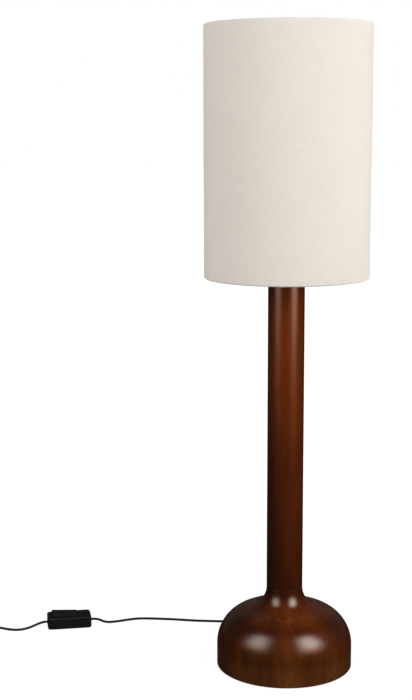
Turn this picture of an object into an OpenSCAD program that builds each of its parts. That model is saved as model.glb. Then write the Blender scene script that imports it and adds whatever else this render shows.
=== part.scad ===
// Floor lamp: turned wooden dome base and column, tall linen drum shade on a wire fitter,
// and a black lead with an in-line rocker switch, a coil of spare lead and a flat two-pin plug.
// Millimetres, +Z up, origin on the floor under the middle of the base.
// The front of the lamp faces -Y and the lead leaves at the back, +Y.

/* [Base] */
// Diameter of the turned base
base_d = 253; // [240:1:300]
// Height of the straight wall under the shoulder
wall_h = 42; // [34:1:60]
// Radius of the rounded shoulder
shoulder_r = 71; // [62:1:78]
// Radius of the hollow sweep from shoulder to neck
neck_fillet_r = 40; // [32:1:46]
// Softened lower edge of the base
foot_edge = 1.5; // [0.5:0.5:4]
// Depth of the small V where column and base meet
seam_v = 0.6; // [0.2:0.1:1.2]
// Thickness of the wooden wall round the weight
base_wall = 26; // [22:1:32]
// Depth of the hollow above the bottom board
recess_h = 42; // [40:1:48]
// Width of the ledge that carries the bottom board
ledge_w = 14; // [10:1:16]
// Thickness of the bottom board
board_t = 3; // [2.5:0.5:4]
// Thickness of the felt
felt_t = 2; // [1.5:0.5:3]
// How far the felt stands below the wooden rim
felt_proud = 1; // [0.5:0.5:1]

/* [Weight] */
// Thickness of the cast weight
weight_t = 16; // [10:1:18]
// Diameter of the hole in the middle of the weight
weight_hole_d = 80; // [60:1:100]
// Screws that hold the weight
weight_screws_n = 3; // [3:1:3]
// Diameter of those screws
weight_screw_d = 5; // [4:0.5:6]
// Length of those screws in the wood
weight_screw_bite = 18; // [12:1:24]

/* [Column] */
// Diameter of the column
column_d = 67; // [60:1:72]
// Length of the column above the neck of the base
column_l = 593; // [400:1:900]
// Diameter of the tenon that goes into the base
tenon_d = 40; // [32:1:44]
// Length of the tenon
tenon_l = 30; // [20:1:38]
// Softened upper edge of the column
column_edge = 1.5; // [0.5:0.5:4]

/* [Tie rod] */
// Outside diameter of the hollow threaded rod
rod_d = 10; // [9:0.5:10]
// Bore of the rod, for the lead
rod_bore_d = 7.5; // [6:0.5:8]
// Width across the flats of the nuts
nut_af = 14; // [14:1:17]
// Thickness of the nuts
nut_t = 5; // [4:0.5:6]
// Thickness of the washers
washer_t = 2; // [1.5:0.5:3]
// Diameter of the washer in the base
foot_washer_d = 36; // [26:1:50]
// Diameter of the disc on top of the column
top_disc_d = 50; // [40:1:56]

/* [Shade] */
// Outside diameter of the shade
shade_d = 300; // [240:1:400]
// Height of the shade
shade_h = 450; // [300:1:600]
// How far the column reaches up into the shade
column_in_shade = 11.5; // [5:0.5:14]
// Thickness of the linen
linen_t = 0.7; // [0.6:0.1:1]
// Thickness of the stiff lining
lining_t = 0.5; // [0.4:0.1:0.7]
// Diameter of the frame wire
wire_d = 3.4; // [3:0.1:4]
// Diameter of the fitter's arms
arm_d = 3; // [2.6:0.1:3]
// How far the linen is rolled round the top wire, in degrees
top_wrap = 235; // [180:5:250]
// How far the linen is rolled round the bottom wire, in degrees
low_wrap = 150; // [120:5:155]
// Number of arms of the fitter
arms = 3; // [3:1:4]

/* [Lampholder] */
// Outside diameter of the threaded sleeve
sleeve_d = 39; // [38:0.5:40]
// Wall of the sleeve
sleeve_wall = 3; // [2.5:0.1:3.2]
// Height of the sleeve above the cap
sleeve_h = 34; // [32:1:38]
// Height of the cap under the sleeve
cap_h = 26; // [24:1:32]
// Wall of the cap
cap_wall = 2.2; // [1.8:0.1:2.6]
// Diameter of the sleeve's shoulder, which carries the shade
shoulder_d = 46; // [44:1:48]
// Thickness of the shoulder
shoulder_t = 3; // [2:0.5:4]
// Outside diameter of the ring that clamps the shade
clamp_ring_d = 54; // [50:1:56]
// Height of that ring
clamp_ring_h = 8; // [6:1:10]
// Grips round that ring
clamp_ring_grips = 20; // [12:1:24]
// Outside diameter of the fitter plate
plate_d = 62; // [60:1:70]
// Thickness of the fitter plate
plate_t = 1.6; // [1.2:0.2:2]
// Height of the insulating core
core_h = 12; // [10:1:14]

/* [Bulb] */
// Outside diameter of the bulb's screw shell
screw_shell_d = 26.4; // [26:0.1:26.6]
// Height of the bulb's screw shell
screw_shell_h = 24; // [22:1:26]
// Diameter of the globe
globe_d = 60; // [56:1:64]
// Length of the bulb from its contact to its top
bulb_l = 110; // [104:1:116]

/* [Lead] */
// Diameter of the lead
cord_d = 4.8; // [4.4:0.1:5]
// Height of the lead where it leaves the base
exit_z = 14; // [13:0.5:15]
// Length of the tapered bend relief outside the base
relief_l = 24; // [20:1:30]
// Grooves round the bend relief
relief_grooves = 5; // [3:1:6]
// Turns of the coil in each of its two layers
coil_turns = 3.5; // [3:0.5:4]
// Free gap between neighbouring turns
coil_gap = 0.5; // [0.45:0.05:0.8]
// Radius of the innermost turn
coil_inner_r = 19.2; // [18:0.2:21]
// Width of the strap that ties the coil
tie_w = 8; // [6:1:12]
// Thickness of the strap
tie_t = 0.8; // [0.6:0.1:1.2]

/* [Switch] */
// Length of the switch housing
switch_l = 88; // [86:1:100]
// Width of the switch housing
switch_w = 47; // [44:1:52]
// Height of the switch housing
switch_h = 23; // [22:0.5:26]
// Height of the joint between the switch's two shells, and of the lead there
switch_split = 9.5; // [8.5:0.5:12]
// Wall of the housing
switch_wall = 2; // [1.6:0.2:2.4]
// Thickness of the cover's top
switch_top_t = 2.5; // [2:0.5:3]
// Radius of the housing's corners, seen from above
switch_corner_r = 7; // [5:0.5:8]
// Rounding of the cover's upper edge
switch_edge_r = 3; // [1.5:0.5:4]
// Length of the paddle rocker
rocker_l = 51; // [44:1:52]
// Width of the paddle rocker
rocker_w = 32; // [28:1:32]
// How far the rocker's middle lies from the housing's middle, towards the plug
rocker_shift = 9; // [6:0.5:9]
// Tilt of the rocker each way from level, in degrees
rocker_tilt = 3; // [2:0.5:4]
// How far the level rocker stands above the housing
rocker_proud = 4.5; // [3:0.5:5]
// Diameter of the rocker's pivot pins
pivot_d = 3; // [2.5:0.5:3.5]

/* [Plug] */
// Width of the plug
plug_w = 35.3; // [34:0.1:36]
// Thickness of the plug
plug_t = 13.7; // [13:0.1:14]
// Length of the plug body
plug_l = 34; // [30:1:38]
// Length of the plug's bend relief
plug_relief_l = 20; // [16:1:26]
// Diameter of the plug pins
pin_d = 4; // [3.9:0.1:4.1]
// Length of the plug pins
pin_l = 19; // [18:0.5:20]
// Distance between the pins at the plug's face
pin_gap_root = 18.6; // [18:0.1:19]
// Distance between the pins at their tips
pin_gap_tip = 17.5; // [17:0.1:18]

/* [Hidden] */
$fn = 96;
arc_steps = 14;     // steps of a rounded outline
corner_steps = 6;   // steps of a small rounded corner
lay_gap = 0.3;      // between pieces that lie side by side
run_gap = 0.08;     // round a pin that turns
screw_gap = 0.1;    // round a screw, nut or rod
lead_gap = 0.2;     // round the lead in a hole
glue_gap = 0.1;     // glue line
past = 0.5;         // how far a cut runs past a face
slice = 0.01;       // thin layer that a rounded block is wrapped over

// Base
z_rim = felt_proud;
z_ledge = felt_t + board_t;
z_roof = z_ledge + recess_h;
base_r = base_d / 2;
column_r = column_d / 2;
recess_r = base_r - base_wall;
rebate_r = recess_r + ledge_w;
board_r = rebate_r - lay_gap;
felt_inset = 2;
weight_r = recess_r - 2;
weight_hole_r = weight_hole_d / 2;
weight_edge = 2;
// Slope at which the shoulder's arc meets the hollow sweep of the neck
shoulder_mid_r = base_r - shoulder_r;
neck_slope = asin((column_r + neck_fillet_r - shoulder_mid_r) / (shoulder_r + neck_fillet_r));
z_neck = wall_h + (shoulder_r + neck_fillet_r) * cos(neck_slope);
z_column = z_neck + column_l;
tenon_edge = 1;

// Screws in the base
weight_screw_r = (weight_r + weight_hole_r) / 2;
board_screws_n = 4;
board_screw_r = recess_r + ledge_w / 2;
board_screw_d = 3.5;
board_screw_bite = 13;
head_ratio = 2;     // a countersunk head is this many shanks across
tip_ratio = 1.5;    // the point of a screw is this many shanks long

// Tie rod and what it clamps
rod_r = rod_d / 2;
rod_hole_r = rod_r + 0.5;
rod_foot = 3;       // thread that shows under the nut
z_rod_foot = z_roof - washer_t - nut_t - rod_foot;
z_holder = z_column + washer_t + nut_t;
rod_in_holder = 10;
z_rod_top = z_holder + rod_in_holder;

// Lampholder
sleeve_r = sleeve_d / 2;
cap_r = sleeve_r + 0.6;
nipple_r = 9.5;
nipple_h = 7;
cap_round = 8;
z_shoulder = z_holder + cap_h;
z_plate = z_shoulder + shoulder_t;
z_clamp_ring = z_plate + plate_t;
z_sleeve = z_shoulder + sleeve_h;
sleeve_bore_r = sleeve_r - sleeve_wall;
spigot_h = 6;
grip_r = 1.2;
z_core = z_shoulder - 4;
contact_h = 3;
z_contact = z_core + core_h + contact_h;
thread_t = 0.4;
thread_gap = 0.3;

// Bulb
button_r = 4.6;
button_h = 2;
shell_cone_h = 3;
z_collar = z_contact + button_h + screw_shell_h;
z_bulb = z_contact + bulb_l;
globe_r = globe_d / 2;
globe_neck_r = 0.82 * globe_r;
z_globe_mid = z_bulb - globe_r;
z_globe = z_globe_mid - sqrt(pow(globe_r, 2) - pow(globe_neck_r, 2));
collar_curve = 2.2;

// Shade
shade_r = shade_d / 2;
z_shade = z_column - column_in_shade;
z_shade_top = z_shade + shade_h;
lining_r = shade_r - linen_t - glue_gap;
wire_r = wire_d / 2;
roll_r = wire_r + glue_gap + lining_t + glue_gap + linen_t;
wire_ring_r = shade_r - roll_r;
z_low_wire = z_shade + roll_r;
z_top_wire = z_shade_top - roll_r;
lining_past_wire = 0.5;
plate_hole_r = sleeve_r + 0.8;
arm_inner_r = plate_d / 2 - 1.5;
z_arm = z_plate + plate_t / 2;
first_arm = 90;

// Lead through the base
cord_r = cord_d / 2;
relief_flange_r = 7.5;
relief_flange_t = 2;
relief_flange_edge = 0.5;
relief_barrel_r = 4.5;
relief_root_r = 5;
relief_end_r = cord_r + 1.2;
relief_groove = 0.8;
spot_face = 0.6;
relief_y = base_r - spot_face;
relief_end_y = relief_y + relief_flange_t + relief_l;
relief_inner_y = recess_r - 2;
lead_bend_r = z_rod_foot - exit_z - 1;
stop_r = 6.5;
stop_l = 8;
stop_y = relief_inner_y - stop_l - lay_gap;

// Switch: where it lies, and its inside
switch_x = -438;
switch_y = 181;
switch_turn = 13;
switch_floor_t = 2;
switch_foot_edge = 1;
z_pivot = switch_h - switch_top_t - 2;
rocker_h = switch_h + rocker_proud - z_pivot;
rocker_edge = 1;
rocker_end_r = norm([rocker_l / 2, rocker_h - rocker_edge]);
rocker_skirt = 2;
rocker_wall = 1.8;
hub_r = pivot_d / 2 + 1.4;
cheek_t = 2.4;
cheek_r = pivot_d / 2 + 2;
window_l = 2 * (rocker_end_r + lay_gap);
window_w = rocker_w + 2 * lay_gap;
cord_in_switch = 13;
boss_r = 3;
boss_x = switch_l / 2 - 4.5;
boss_y = switch_w / 2 - 5.6;
switch_screw_d = 2.4;
switch_screw_end = switch_h - switch_top_t - 2;
clamp_x = switch_l / 2 - 7;
clamp_l = 4;
clamp_w = 14;
clamp_h = 4.5;
seat_h = 8;
pole_w = 5;
pole_gap = 1;
pole_block_l = 7;
pole_block_h = switch_split + cord_r - seat_h;
pole_strip_t = 0.8;

// Coil: the lead comes in over its back, going left, and leaves at its left, going forward
coil_x = -638;
coil_y = 124;
coil_step = cord_d + coil_gap;
coil_outer_r = coil_inner_r + coil_turns * coil_step;
tie_side_gap = 0.6;
tie_rest_gap = 0.1;
coil_low_z = tie_t + tie_rest_gap + cord_r;
coil_high_z = coil_low_z + coil_step;
coil_climb = 0.5;   // part of a turn in which the lead climbs to the upper layer
coil_extra = 0.25;  // part of a turn between where it comes in and where it leaves
coil_end_r = coil_outer_r + coil_extra * coil_step;
loop_rings = 24;
loop_sides = 6;
lead_sides = 8;
coil_straight = 2 * cord_d;
tail_l = 30;
tail_steps = 4;

// Plug
plug_x = coil_x - coil_end_r;
plug_y = coil_y - tail_l - plug_relief_l - plug_l;
plug_z = plug_t / 2;
plug_straight = 16;
plug_corner_r = 6;
plug_back_w = 15;
plug_back_t = 11;
plug_back_r = 5;
plug_relief_root_r = 5;
pin_toe_in = atan((pin_gap_root - pin_gap_tip) / 2 / pin_l);
pin_tip = 0.8;
pin_core_r = 1.5;
pin_sleeve_r = 1.84;
pin_sleeve_l = 10;
pin_sleeve_gap = 0.05;
pin_depth = 8;

// Route of the lead, in round numbers, from the bend relief to the switch
route_lamp = concat(
    [for (y = [0, 7]) [0, relief_end_y + y, exit_z]],
    [[-0.5, 168, 12.8], [-2, 178, 9.6], [-6, 188, 6.2], [-13, 197, 3.6], [-24, 204, 2.5],
     [-38, 209, 2.4], [-54, 211, 2.4], [-78, 212, 2.4], [-104, 211.5, 2.4], [-131, 211, 2.4],
     [-154, 211.5, 2.4], [-178, 212, 2.4], [-202, 214.5, 2.4], [-227, 217.5, 2.4],
     [-252, 219, 2.4], [-276, 220, 2.4], [-297, 219, 2.4], [-315, 213.5, 2.4], [-331, 205.5, 2.4],
     [-346, 198.5, 2.4], [-359, 193.5, 3], [-369, 192, 5], [-378, 193, 8.2]],
    [for (x = [8, 0, -cord_in_switch]) switch_point(switch_l / 2 + x)]);
// From the switch to the coil
route_wall = concat(
    [for (x = [-cord_in_switch, 0, 6]) switch_point(-switch_l / 2 - x)],
    [[-496.5, 165, 8], [-505, 159.5, 5.7], [-513, 153, 3.9], [-522, 147, 2.8], [-532, 142, 2.4],
     [-544, 140.5, 2.4], [-556, 143, 2.4], [-567, 147.5, 2.4], [-579, 152, 2.4], [-592, 156.5, 2.4],
     [-606, 159.5, 2.7]],
    [[coil_x + coil_straight, coil_y + coil_outer_r, coil_low_z]]);

wood = [0.34, 0.16, 0.07];
linen = [0.89, 0.85, 0.80];
felt_grey = [0.16, 0.15, 0.15];
black = [0.08, 0.08, 0.08];
iron = [0.25, 0.25, 0.27];
steel = [0.72, 0.73, 0.75];
brass = [0.80, 0.66, 0.34];
opal = [0.95, 0.95, 0.92];
ceramic = [0.90, 0.88, 0.84];

// Helpers: outlines
function arc(mid, r, from, to, steps = arc_steps) =
    [for (i = [0:steps]) let (a = from + (to - from) * i / steps) mid + r * [cos(a), sin(a)]];
function round_rect(l, w, r) = [for (q = [0:3], p = arc([(q == 0 || q == 3 ? 1 : -1) * (l / 2 - r),
    (q < 2 ? 1 : -1) * (w / 2 - r)], r, 90 * q, 90 * (q + 1), corner_steps)) p];

// Helpers: revolved and skinned solids
module turned(outline) rotate_extrude() polygon(outline);

module washer(r_out, r_in, h) turned([[r_in, 0], [r_out, 0], [r_out, h], [r_in, h]]);

module nut(bore_r) difference() {
    cylinder(r = nut_af / 2 / cos(30), h = nut_t, $fn = 6);
    translate([0, 0, -past]) cylinder(r = bore_r, h = nut_t + 2 * past);
}

module countersunk(d, l, gap = 0) {
    head_r = d * head_ratio / 2 + gap;
    shank_r = d / 2 + gap;
    tip = d * tip_ratio;
    turned([[0, -gap], [head_r, -gap], [head_r, 0], [shank_r, head_r - shank_r],
            [shank_r, l + gap - tip], [0, l + gap]]);
}

// Rounded block, skinned over equal outlines: layers are [height, how far the outline is drawn in]
module skinned(l, w, r, layers) {
    rims = [for (layer = layers) let (in = layer[1])
        [for (p = round_rect(l - 2 * in, w - 2 * in, r - in)) [p.x, p.y, layer[0]]]];
    n = len(rims[0]);
    last = (len(rims) - 1) * n;
    sides = [for (i = [0:len(rims) - 2], k = [0:n - 1]) let (m = (k + 1) % n, a = i * n, b = a + n)
        [a + k, b + k, b + m, a + m]];
    polyhedron([for (rim = rims) each rim],
               concat([[for (k = [0:n - 1]) k]], sides, [[for (k = [0:n - 1]) last + n - 1 - k]]));
}

// Helpers: the lead
function unit(v) = v / norm(v);
function direction(p, i) = unit(p[min(i + 1, len(p) - 1)] - p[max(i - 1, 0)]);
function ring(mid, along, r, sides) =
    let (side = unit(cross([0, 0, 1], along)), up = cross(along, side))
    [for (k = [0:sides - 1]) let (a = 90 + 360 * k / sides) mid + r * (cos(a) * side + sin(a) * up)];
// A curve through the points, never lower than the floor lets the lead lie
function blend(a, b, c, d, t) = (2 * b + (c - a) * t + (2 * a - 5 * b + 4 * c - d) * t * t
    + (3 * b - a - 3 * c + d) * t * t * t) / 2;
function floored(p) = [p.x, p.y, max(p.z, cord_r)];
function smooth(p) = [for (i = [0:len(p) - 2], t = [0, 0.5])
    floored(blend(p[max(i - 1, 0)], p[i], p[i + 1], p[min(i + 2, len(p) - 1)], t)), p[len(p) - 1]];

module tube(p, r, sides) {
    n = len(p);
    rings = [for (i = [0:n - 1], v = ring(p[i], direction(p, i), r, sides)) v];
    sleeve = [for (i = [0:n - 2], k = [0:sides - 1]) let (m = (k + 1) % sides, a = i * sides, b = a + sides)
        each [[a + k, a + m, b + k], [a + m, b + m, b + k]]];
    start = [for (k = [1:sides - 2]) [0, k + 1, k]];
    last = (n - 1) * sides;
    end = [for (k = [1:sides - 2]) [last, last + k, last + k + 1]];
    polyhedron(rings, concat(sleeve, start, end));
}

// Helpers: where things lie
function switch_point(x) =
    [switch_x + x * cos(switch_turn), switch_y + x * sin(switch_turn), switch_split];
module at_switch() translate([switch_x, switch_y, 0]) rotate([0, 0, switch_turn]) children();
module at_plug() translate([plug_x, plug_y, plug_z]) rotate([-90, 0, 0]) children();
module along_exit(y) translate([0, y, exit_z]) rotate([-90, 0, 0]) children();
module round_weight() for (i = [0:weight_screws_n - 1])
    rotate(90 + 360 * (i + 0.5) / weight_screws_n)
        translate([weight_screw_r, 0, z_roof - weight_t]) children();
module round_board() for (i = [0:board_screws_n - 1])
    rotate(90 + 360 * (i + 0.5) / board_screws_n)
        translate([board_screw_r, 0, felt_t]) children();
module both_ends() for (turn = [0, 180]) rotate(turn) children();
module four_bosses() for (x = [-1, 1], y = [-1, 1]) translate([x * boss_x, y * boss_y, 0]) children();

// Base
module base_dome() color(wood) difference() {
    turned(concat(
        [[rebate_r, z_rim], [base_r - foot_edge, z_rim], [base_r, z_rim + foot_edge]],
        arc([shoulder_mid_r, wall_h], shoulder_r, 0, 90 - neck_slope),
        arc([column_r + neck_fillet_r, z_neck], neck_fillet_r, 270 - neck_slope, 180 + seam_v),
        [[column_r, z_neck - seam_v], [column_r - seam_v, z_neck],
         [tenon_d / 2 + screw_gap, z_neck], [tenon_d / 2 + screw_gap, z_neck - tenon_l - 1],
         [rod_hole_r, z_neck - tenon_l - 1], [rod_hole_r, z_roof],
         [recess_r, z_roof], [recess_r, z_ledge], [rebate_r, z_ledge]]));
    along_exit(recess_r - past) cylinder(r = relief_barrel_r + lead_gap, h = base_wall + 2 * past);
    along_exit(relief_y) cylinder(r = relief_flange_r + lay_gap, h = base_wall);
    round_weight() countersunk(weight_screw_d, weight_t + weight_screw_bite, screw_gap);
    round_board() countersunk(board_screw_d, board_t + board_screw_bite, screw_gap);
}

module cast_weight() color(iron) difference() {
    translate([0, 0, z_roof - weight_t]) turned([
        [weight_hole_r, weight_edge], [weight_hole_r + weight_edge, 0], [weight_r - weight_edge, 0],
        [weight_r, weight_edge], [weight_r, weight_t - weight_edge], [weight_r - weight_edge, weight_t],
        [weight_hole_r, weight_t]]);
    round_weight() countersunk(weight_screw_d, weight_t + weight_screw_bite, screw_gap);
}

module weight_screws() color(steel)
    round_weight() countersunk(weight_screw_d, weight_t + weight_screw_bite);

module bottom_board() color([0.45, 0.32, 0.2]) difference() {
    translate([0, 0, felt_t]) cylinder(r = board_r, h = board_t);
    round_board() countersunk(board_screw_d, board_t + board_screw_bite, screw_gap);
}

module board_screws() color(steel)
    round_board() countersunk(board_screw_d, board_t + board_screw_bite);

module felt_pad() color(felt_grey) cylinder(r = board_r - felt_inset, h = felt_t);

// Column and the rod that ties it down
module column() color(wood) turned([
    [rod_hole_r, z_neck - tenon_l], [tenon_d / 2 - tenon_edge, z_neck - tenon_l],
    [tenon_d / 2, z_neck - tenon_l + tenon_edge], [tenon_d / 2, z_neck],
    [column_r - seam_v, z_neck], [column_r, z_neck + seam_v],
    [column_r, z_column - column_edge], [column_r - column_edge, z_column], [rod_hole_r, z_column]]);

module tie_rod() color(steel) translate([0, 0, z_rod_foot])
    washer(rod_r, rod_bore_d / 2, z_rod_top - z_rod_foot);

module foot_washer() color(steel) translate([0, 0, z_roof - washer_t])
    washer(foot_washer_d / 2, rod_r + screw_gap, washer_t);

module foot_nut() color(steel) translate([0, 0, z_roof - washer_t - nut_t]) nut(rod_r + screw_gap);

module top_disc() color(steel) translate([0, 0, z_column])
    washer(top_disc_d / 2, rod_r + screw_gap, washer_t);

module top_nut() color(steel) translate([0, 0, z_column + washer_t]) nut(rod_r + screw_gap);

// Lampholder
module holder_cap() color(black) translate([0, 0, z_holder]) turned(concat(
    [[rod_r + screw_gap, 0], [nipple_r, 0], [nipple_r, nipple_h]],
    arc([cap_r - cap_round, nipple_h + cap_round], cap_round, -90, 0),
    [[cap_r, cap_h], [cap_r - cap_wall, cap_h]],
    arc([cap_r - cap_round, nipple_h + cap_round], cap_round - cap_wall, 0, -90),
    [[rod_r + screw_gap, nipple_h + cap_wall]]));

module holder_sleeve() color(black) translate([0, 0, z_shoulder]) turned([
    [sleeve_bore_r, -spigot_h], [cap_r - cap_wall - lead_gap, -spigot_h], [cap_r - cap_wall - lead_gap, 0],
    [shoulder_d / 2, 0], [shoulder_d / 2, shoulder_t], [sleeve_r, shoulder_t],
    [sleeve_r, sleeve_h], [sleeve_bore_r, sleeve_h]]);

module holder_core() color(ceramic) translate([0, 0, z_core])
    cylinder(r = sleeve_bore_r - lead_gap, h = core_h);

module holder_thread() color(brass) translate([0, 0, z_core + core_h])
    washer(screw_shell_d / 2 + thread_gap + thread_t, screw_shell_d / 2 + thread_gap,
           z_sleeve - z_core - core_h - 2);

module holder_contact() color(brass) translate([0, 0, z_core + core_h]) {
    tongue_l = 12;
    tongue_w = 5;
    tongue_t = 0.6;
    translate([-tongue_l / 2, -tongue_w / 2, 0]) cube([tongue_l, tongue_w, tongue_t]);
    hull() for (end = [[-tongue_l / 2, 0], [0, contact_h - tongue_t]])
        translate([end[0], -tongue_w / 2, end[1]]) cube([1, tongue_w, tongue_t]);
}

module shade_clamp_ring() color(black) translate([0, 0, z_clamp_ring]) difference() {
    washer(clamp_ring_d / 2, sleeve_r + screw_gap, clamp_ring_h);
    for (i = [0:clamp_ring_grips - 1]) rotate(360 * i / clamp_ring_grips)
        translate([clamp_ring_d / 2 + grip_r / 3, 0, -past])
            cylinder(r = grip_r, h = clamp_ring_h + 2 * past);
}

// Bulb
module bulb_contact() color(brass) translate([0, 0, z_contact]) cylinder(r = button_r, h = button_h);

module bulb_screw_shell() color(steel) translate([0, 0, z_contact + button_h]) turned([
    [0, 0], [button_r, 0], [screw_shell_d / 2, shell_cone_h],
    [screw_shell_d / 2, screw_shell_h], [0, screw_shell_h]]);

module bulb_collar() color(opal) turned(concat([[0, z_globe], [0, z_collar]],
    [for (i = [0:arc_steps]) let (s = i / arc_steps)
        [screw_shell_d / 2 + (globe_neck_r - screw_shell_d / 2) * pow(s, collar_curve),
         z_collar + (z_globe - z_collar) * s]]));

module bulb_globe() color(opal) intersection() {
    translate([0, 0, z_globe_mid]) sphere(r = globe_r);
    translate([0, 0, z_globe]) cylinder(r = globe_r + past, h = z_bulb - z_globe + past);
}

// Shade
module shade_linen() color(linen) turned(concat(
    arc([wire_ring_r, z_top_wire], roll_r, 0, top_wrap),
    arc([wire_ring_r, z_top_wire], roll_r - linen_t, top_wrap, 0),
    arc([wire_ring_r, z_low_wire], roll_r - linen_t, 0, -low_wrap),
    arc([wire_ring_r, z_low_wire], roll_r, -low_wrap, 0)));

module shade_lining() color(opal) translate([0, 0, z_low_wire - lining_past_wire])
    washer(lining_r, lining_r - lining_t, z_top_wire - z_low_wire + 2 * lining_past_wire);

module wire_ring(z) translate([0, 0, z]) rotate_extrude() translate([wire_ring_r, 0]) circle(r = wire_r);

module shade_top_wire() color(opal) wire_ring(z_top_wire);

module shade_fitter() color(opal) {
    reach = [wire_ring_r - arm_inner_r, z_low_wire - z_arm];
    wire_ring(z_low_wire);
    translate([0, 0, z_plate]) washer(plate_d / 2, plate_hole_r, plate_t);
    for (i = [0:arms - 1]) rotate(first_arm + 360 * i / arms) translate([arm_inner_r, 0, z_arm])
        rotate([0, 90 + atan(-reach.y / reach.x), 0]) cylinder(d = arm_d, h = norm(reach));
}

// Lead
module bend_relief() color(black) along_exit(relief_y) turned(concat(
    [[cord_r + lead_gap, relief_inner_y - relief_y], [relief_barrel_r, relief_inner_y - relief_y],
     [relief_barrel_r, 0], [relief_flange_r, 0], [relief_flange_r, relief_flange_t - relief_flange_edge],
     [relief_flange_r - relief_flange_edge, relief_flange_t]],
    ribbed(relief_root_r, relief_end_r, relief_flange_t, relief_l, relief_grooves),
    [[cord_r + lead_gap, relief_flange_t + relief_l]]));

// Tapered outline with square grooves, from the root at height z0 to the end
function ribbed(root_r, end_r, z0, l, n) = let (pitch = l / (2 * n + 1))
    [for (i = [0:2 * n]) let (r = root_r + (end_r - root_r) * i / (2 * n) - (i % 2) * relief_groove)
        each [[r, z0 + i * pitch], [r, z0 + (i + 1) * pitch]]];

module lead_stop() color(black) along_exit(stop_y) washer(stop_r, cord_r + screw_gap, stop_l);

module inner_lead() color(black) {
    along_exit(lead_bend_r) cylinder(r = cord_r, h = relief_end_y - lead_bend_r);
    translate([0, lead_bend_r, exit_z + lead_bend_r]) rotate([90, 0, 90]) rotate(180)
        rotate_extrude(angle = 90) translate([lead_bend_r, 0]) circle(r = cord_r);
    translate([0, 0, exit_z + lead_bend_r]) cylinder(r = cord_r, h = z_core - exit_z - lead_bend_r);
}

module lead_to_switch() color(black) tube(smooth(route_lamp), cord_r, lead_sides);

module lead_to_coil() color(black) tube(smooth(route_wall), cord_r, lead_sides);

// The coil winds in on the floor, climbs one layer where it turns back, and winds out again
function coil_point(t) = let (
    r = coil_inner_r + coil_step * abs(coil_turns - t),
    climbed = min(max((t - coil_turns) / coil_climb + 0.5, 0), 1),
    a = 90 + 360 * t)
    [coil_x + r * cos(a), coil_y + r * sin(a), coil_low_z + coil_step * climbed];
coil_path = [for (i = [0:loop_rings * (2 * coil_turns + coil_extra)]) coil_point(i / loop_rings)];
// Its tail eases down to the height of the plug
function eased(s) = (1 - cos(180 * min(s, 1))) / 2;
tail_path = [for (i = [1:tail_steps]) let (s = i / tail_steps)
    [plug_x, coil_y - tail_l * s, coil_high_z + (plug_z - coil_high_z) * eased(s * 1.3)]];
// Least gap between two turns, measured between points at least half a turn apart
half_turn = loop_rings / 2;
coil_last = len(coil_path) - 1;
coil_least = min([for (i = [0:coil_last - half_turn], j = [i + half_turn:coil_last])
    norm(coil_path[i] - coil_path[j])]) - cord_d;
echo(least_gap_of_the_coil_to_itself = coil_least);

module lead_coil() color(black) tube(concat(
    [for (x = [coil_straight, cord_d]) [coil_x + x, coil_y + coil_outer_r, coil_low_z]],
    coil_path, tail_path), cord_r, loop_sides);

// The strap goes round all the turns where they pass the coil's right side
module coil_tie() color(black) {
    inner = coil_inner_r + coil_extra * coil_step - cord_r - tie_side_gap;
    outer = coil_outer_r - coil_extra * coil_step + cord_r + tie_side_gap;
    length = outer - inner;
    height = coil_high_z + cord_r + tie_rest_gap - tie_t;
    translate([coil_x + (inner + outer) / 2, coil_y, tie_t + height / 2]) rotate([90, 0, 0])
        linear_extrude(tie_w, center = true) difference() {
            polygon(round_rect(length + 2 * tie_t, height + 2 * tie_t, cord_r + tie_t));
            polygon(round_rect(length, height, cord_r));
        }
}

// Switch
module housing_cut(gap) {
    both_ends() translate([switch_l / 2 - switch_wall - past, 0, switch_split]) rotate([0, 90, 0])
        cylinder(r = cord_r + gap, h = switch_wall + 2 * past);
    children();
}

module switch_base() color(black) at_switch() difference() {
    union() {
        difference() {
            skinned(switch_l, switch_w, switch_corner_r,
                    [[0, switch_foot_edge], [switch_foot_edge, 0], [switch_split, 0]]);
            translate([0, 0, switch_floor_t]) linear_extrude(switch_split)
                polygon(round_rect(switch_l - 2 * switch_wall, switch_w - 2 * switch_wall,
                                   switch_corner_r - switch_wall));
        }
        four_bosses() cylinder(r = boss_r, h = switch_split);
        both_ends() {
            for (side = [-1, 1]) translate([clamp_x - clamp_l / 2, side * (clamp_w / 2 - 2) - 2, 0])
                cube([clamp_l, 4, switch_split]);
            translate([switch_l / 2 - cord_in_switch - pole_block_l, -pole_w - pole_gap / 2, 0])
                cube([pole_block_l, 2 * pole_w + pole_gap, seat_h]);
        }
    }
    housing_cut(lead_gap) four_bosses() countersunk(switch_screw_d, switch_screw_end, screw_gap);
}

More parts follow.
